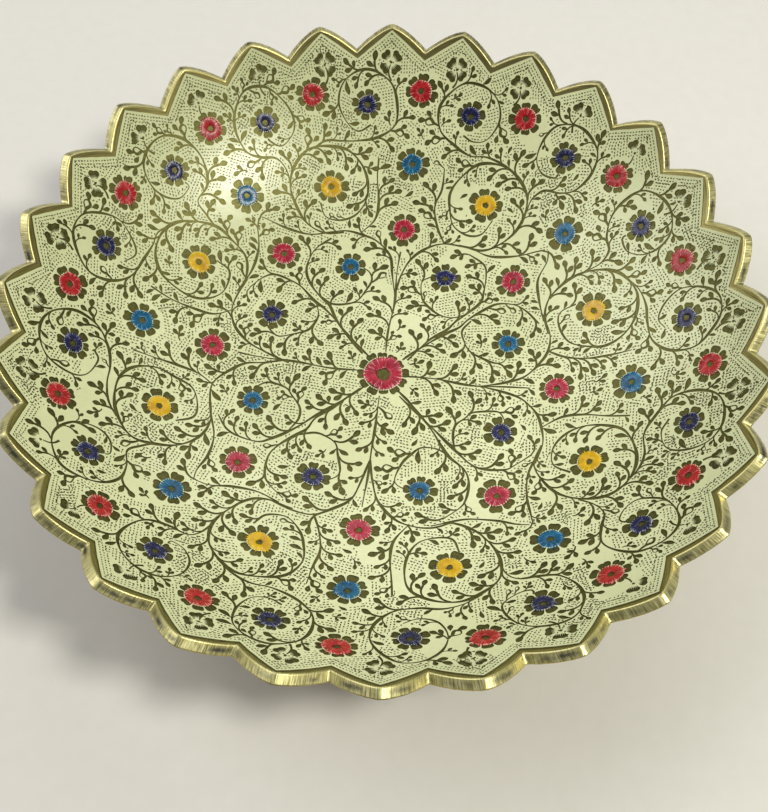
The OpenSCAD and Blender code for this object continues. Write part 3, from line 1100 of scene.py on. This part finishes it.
# %% Points where the coat only just holds together
def rim_edges(faces):
    """Directed edges that have a triangle on one side only."""
    n = faces.max() + 1
    edges = np.concatenate([faces[:, [0, 1]], faces[:, [1, 2]], faces[:, [2, 0]]])
    return edges[~np.isin(edges[:, 0] * n + edges[:, 1], edges[:, 1] * n + edges[:, 0])]


def loose_fans(faces):
    """Where two parts of the coat touch in one point, that point has several fans of
    triangles.  Returns the triangles of all but the largest fan."""
    lose = []
    for v in np.flatnonzero(np.bincount(rim_edges(faces)[:, 0]) > 1):
        fans = []
        for t in np.flatnonzero((faces == v).any(axis=1)):
            corners, members = set(faces[t].tolist()) - {int(v)}, [t]
            apart = []
            for fan in fans:
                if fan[0] & corners:
                    corners, members = corners | fan[0], members + fan[1]
                else:
                    apart.append(fan)
            fans = apart + [(corners, members)]
        fans.sort(key=lambda fan: len(fan[1]))
        lose += [t for fan in fans[:-1] for t in fan[1]]
    return np.unique(np.array(lose, int))


ROUNDS = 8           # far more than are needed: the loops stop when nothing is loose
for _ in range(ROUNDS):
    lose = loose_fans(tris)
    tris = np.delete(tris, lose, axis=0)
    if not len(lose):
        break
print("triangles without the loose ones:", len(tris))

# %% [markdown]
# ## Sectors of the coat
#
# One mesh of the whole coat would be too large to handle, so it is shared out in eight
# sectors.  A triangle that would touch its sector in one point only goes to the neighbour.

# %% Sectors of the coat as closed pieces
SECTORS = 8
mid = flat[tris].mean(axis=1)
share = np.arctan2(mid[:, 1], mid[:, 0]) % (2 * math.pi) / (2 * math.pi)
sector = (share * SECTORS).astype(int)
nearer = np.where(share * SECTORS % 1 > 0.5, 1, -1)
for _ in range(ROUNDS):
    moved = 0
    for k in range(SECTORS):
        mine = np.flatnonzero(sector == k)
        lose = mine[loose_fans(tris[mine])]
        sector[lose] = (k + nearer[lose]) % SECTORS
        moved += len(lose)
    if not moved:
        break


def coat_piece(number):
    """One sector: its top and bottom are the same triangles at two lifts, and every edge
    that has a triangle on one side only becomes a wall."""
    used, local = np.unique(tris[sector == number], return_inverse=True)
    local, n = local.reshape(-1, 3), len(used)
    rim = rim_edges(local)
    walls = np.column_stack([rim[:, 1], rim[:, 0], rim[:, 0] + n, rim[:, 1] + n])
    normals = np.zeros((2 * local.size + walls.size, 3))
    normals[:local.size] = bowl_normals(flat[used])[local.ravel()]
    is_wall = np.repeat([0, 0, 1], [len(local), len(local), len(walls)])
    return build(f"enamel_ground_{number + 1}",
                 np.vstack([on_bowl(flat[used], COAT), on_bowl(flat[used], 0.02)]),
                 # the walls take the painted shade of the cuts
                 [local, local[:, ::-1] + n, walls], [enamel_cream, cut_wall_shade],
                 "ground_enamel", which=is_wall, smooth=is_wall == 0,
                 normals=normals)


coats = [coat_piece(i) for i in range(SECTORS)]
print("coat pieces, triangles:", [sum(len(p.vertices) - 2 for p in c.data.polygons)
                                  for c in coats])

# %% [markdown]
# ## Coloured rings
#
# Each flower gets a ring of thick enamel with an open eye.  The enamel stands a little
# proud of the coat, and its outer edge runs out in short spikes where the point dragged
# it.

# %% Rings of coloured enamel
SPIKES = 26
ROUND = SPIKES * 4
EYE, LARGE_EYE = 2.2, 4.8
# cross-section: share of the way from eye to edge, lift in mm
SECTION = np.array([(0.0, 0.03), (0.02, 0.28), (0.2, 0.4), (0.5, 0.43),
                    (0.8, 0.40), (0.97, 0.31), (1.0, 0.03)])


def ring_points(x, y, size):
    """Rows of points round the ring.  The outer radius is a saw of spikes on a slow
    wobble, the eye a slower wobble."""
    a = np.arange(ROUND) * 2 * math.pi / ROUND
    spike = np.repeat(rng.uniform(0.1, 1.2, SPIKES), 4)
    saw = np.tile([1.0, 0.3, 0.0, 0.3], SPIKES) * spike
    slow = sum(rng.normal(0, 0.025) * np.cos(m * a + rng.uniform(0, 6.3))
               for m in (1, 2, 3, 5))
    outer = size / 2 * (0.95 + slow) + 0.9 * saw
    eye = LARGE_EYE if size > LARGE else EYE
    inner = eye / 2 * (1 + 2 * slow[::-1] + rng.normal(0, 0.06, ROUND))
    r = inner + (outer - inner) * SECTION[:, :1]
    placed = np.concatenate([stretch_round(polar(row, a), x, y) for row in r])
    return on_bowl(placed, np.repeat(SECTION[:, 1], ROUND))


def outward(quads):
    """The quads of a grid seen from the other side, from the same first corner."""
    return np.roll(quads[:, ::-1], 1, axis=1)


def make_flowers(name, group):
    """Joins the rings of one group in one mesh of closed rings."""
    rows = len(SECTION)
    ring = outward(grid_quads(rows, ROUND, True))
    share = np.broadcast_to(SECTION[:, :1], (rows, ROUND))
    points, uvs = [], []
    for n, (x, y, size, reach, tint) in enumerate(group):
        points.append(ring_points(x, y, size))
        u = np.arange(ROUND + 1) * 2 * math.pi / ROUND * size / 4
        uvs.append(outward(grid_uv(u, share, True)).reshape(-1, 2) + [7.3 * n, 0])
    quads = np.vstack([ring + n * rows * ROUND for n in range(len(group))])
    return build(f"enamel_{name}", np.vstack(points), [quads], [enamel[tint]],
                 name, uv=np.vstack(uvs))


rings = [make_flowers(name, group) for name, group in flowers.items()]
print("coloured pieces:", len(rings))

# %% [markdown]
# ## Foot ring and its brazing
#
# The foot is a ring turned from thicker brass, with a soft step, brazed under the bowl.
# The brazing alloy shows as a small pale fillet on both sides.

# %% Turn a closed section round the axis
def revolve(name, section, mat, node, around=256):
    """A closed outline of (radius, height) pairs carried round the axis."""
    a = np.arange(around) * 2 * math.pi / around
    pts = np.stack([section[:, :1] * np.cos(a), section[:, :1] * np.sin(a),
                    np.repeat(section[:, 1:], around, axis=1)], -1).reshape(-1, 3)
    quads = grid_quads(len(section), around, True)
    if ccw(section) is not section:
        quads = quads[:, ::-1]
    return build(name, pts, [quads], [mat], node)


def under_z(r):
    """Height of the bowl's underside at radius r."""
    return AXIS_Z - np.sqrt(OUT_R ** 2 - np.maximum(r - FLAT_R, 0) ** 2)


def parabola(p, bend, q, steps):
    """From p to q, pulled towards bend: (1 - t)^2 p + 2 t (1 - t) bend + t^2 q."""
    t = np.linspace(0, 1, steps)[:, None]
    return (1 - t) ** 2 * p + 2 * t * (1 - t) * bend + t ** 2 * q


def rounded(corners, radius):
    """Rounds every corner: the curve leaves one side a radius before the corner and joins
    the next a radius after it."""
    c = np.asarray(corners, float)
    out = []
    for k in range(len(c)):
        b, ends = c[k], []
        for side in (c[k - 1] - b, c[(k + 1) % len(c)] - b):
            long = np.linalg.norm(side)
            ends.append(b + side / long * min(radius, long * 0.45))
        out.append(parabola(ends[0], b, ends[1], 4))
    return np.vstack(out)


# %% Foot
NECK_OUT = FOOT_R - FOOT_SPLAY
NECK_IN = FOOT_R - FOOT_T - FOOT_SPLAY
NECK_Z = under_z(NECK_OUT) - 0.7 * SOLDER_W
foot_section = rounded([
    (FOOT_R - FOOT_T, 0.0), (FOOT_R, 0.0), (FOOT_R - 0.1, 1.4),
    (FOOT_R - 0.75, 1.75), (FOOT_R - 0.7, 2.6), (NECK_OUT + 0.05, NECK_Z),
    (NECK_OUT, under_z(NECK_OUT) - 0.05),
    (NECK_IN, under_z(NECK_IN) - 0.05), (NECK_IN, 2.4)], 0.35)
foot = revolve("foot", foot_section, brass_foot, "foot_ring")
print(foot.name, "height, mm:", round(float(foot_section[:, 1].max()), 2))


# %% Brazing
def bead(r, away):
    """Section of a fillet against the foot's wall and the underside: its free face is a
    hollow arc between the two."""
    w = SOLDER_W * 0.9
    foot_side = np.array([r, under_z(r) - w])
    bowl_side = np.array([r + away * w, under_z(r + away * w) - 0.03])
    corner = np.array([r, under_z(r) - 0.03])
    bend = corner * 0.55 + (foot_side + bowl_side) / 2 * 0.45
    return np.vstack([parabola(foot_side, bend, bowl_side, 6), corner])


def solder(t):
    """Dull, pale brazing alloy: silvery brass, pitted about every millimetre."""
    pos = put(t, "TexCoord", out="Object")
    tone = put(t, "TexNoise", {"Vector": pos, "Scale": grain(2.5), "Detail": 3.0})
    pits = put(t, "TexNoise", {"Vector": pos, "Scale": grain(1.0)})
    return {"Base Color": put(t, "ValToRGB", [tone],
                              stops=[(0.3, "#8f8467"), (0.7, "#c3ba98")]),
            "Normal": put(t, "Bump", {"Height": pits, "Distance": 0.12 * MM})}


brazing = material("brazing_alloy", solder, Metallic=1.0, Roughness=0.5)
beads = [revolve(f"brazing_{name}", bead(r, away), brazing, "foot_solder")
         for name, r, away in (("outside", NECK_OUT, 1), ("inside", NECK_IN, -1))]
print("brazing:", [b.name for b in beads])

# %% [markdown]
# ## Floor, light and camera
#
# A pale floor, a small bright softbox over the right shoulder, and two wide dim ones on
# the left and behind.  The bowl is a mirror of its room, so the bright one is placed
# where the upper left wall of the bowl throws it back into the camera.

# %% Floor
def paper(t):
    """Matt paper, its tone uneven over some 6 mm."""
    tone = put(t, "TexNoise", {"Vector": put(t, "TexCoord", out="Object"),
                               "Scale": grain(6.0)})
    return {"Base Color": put(t, "Mix", {0: tone, 6: colour("#d9d6cf"),
                                         7: colour("#d3d0c8")}, out=2, data_type="RGBA")}


FLOOR_R = 1.5        # metres, far bigger than the bowl
disc = FLOOR_R * polar(1.0, np.arange(64) * 2 * math.pi / 64)
floor_mesh = bpy.data.meshes.new("floor")
floor_mesh.from_pydata([(x, y, 0.0) for x, y in disc.tolist()], [], [list(range(64))])
floor_mesh.materials.append(material("floor_paper", paper, Roughness=0.75))
floor = bpy.data.objects.new("floor", floor_mesh)
bpy.context.scene.collection.objects.link(floor)
print("floor, m across:", 2 * FLOOR_R)


# %% Lights
def area(name, towards, distance, size, power, tint="#ffffff"):
    """A square area light at a distance in metres, aimed at the bowl."""
    data = bpy.data.lights.new(name, "AREA")
    data.size, data.energy, data.color = size, power, colour(tint)[:3]
    ob = bpy.data.objects.new(name, data)
    d = Vector(towards).normalized()
    ob.location = d * distance + Vector((0, 0, 0.03))
    ob.rotation_euler = d.to_track_quat("Z", "Y").to_euler()
    bpy.context.scene.collection.objects.link(ob)


area("key", (0.55, -0.14, 0.82), 0.9, 0.15, 5.6, "#fffdf2")
area("fill", (-0.8, 0.2, 0.75), 1.2, 0.9, 8.0, "#fbfbff")
area("back", (0.1, 1.0, 0.75), 1.2, 0.8, 3.4)
world = bpy.data.worlds.new("room")
world.use_nodes = True
sky = world.node_tree.nodes["Background"]
sky.inputs[0].default_value, sky.inputs[1].default_value = colour("#c9ccc9"), 0.36
bpy.context.scene.world = world
print("lights:", [light.name for light in bpy.data.lights])

# %% Camera
camera = bpy.data.objects.new("camera", bpy.data.cameras.new("camera"))
camera.data.lens = 41.05
camera.data.sensor_width = 36
camera.data.shift_x = 0.002
camera.data.shift_y = -0.0137
camera.data.clip_start = 0.01
right = Vector((0.991, 0.130, 0.026)).normalized()
forward = Vector((-0.038, 0.469, -0.882)).normalized()
up = right.cross(forward).normalized()
right = forward.cross(up)
turned_to = Matrix((right, up, -forward)).transposed().to_4x4()
camera_at = Vector((13.97, -169.34, 301.8 + 9.2)) * MM
camera.matrix_world = Matrix.Translation(camera_at) @ turned_to
bpy.context.scene.collection.objects.link(camera)
bpy.context.scene.camera = camera
# a plain screen curve, so that a colour on the screen is the colour given
bpy.context.scene.view_settings.view_transform = "Standard"
print("camera, mm from the middle:", round(camera_at.length / MM))
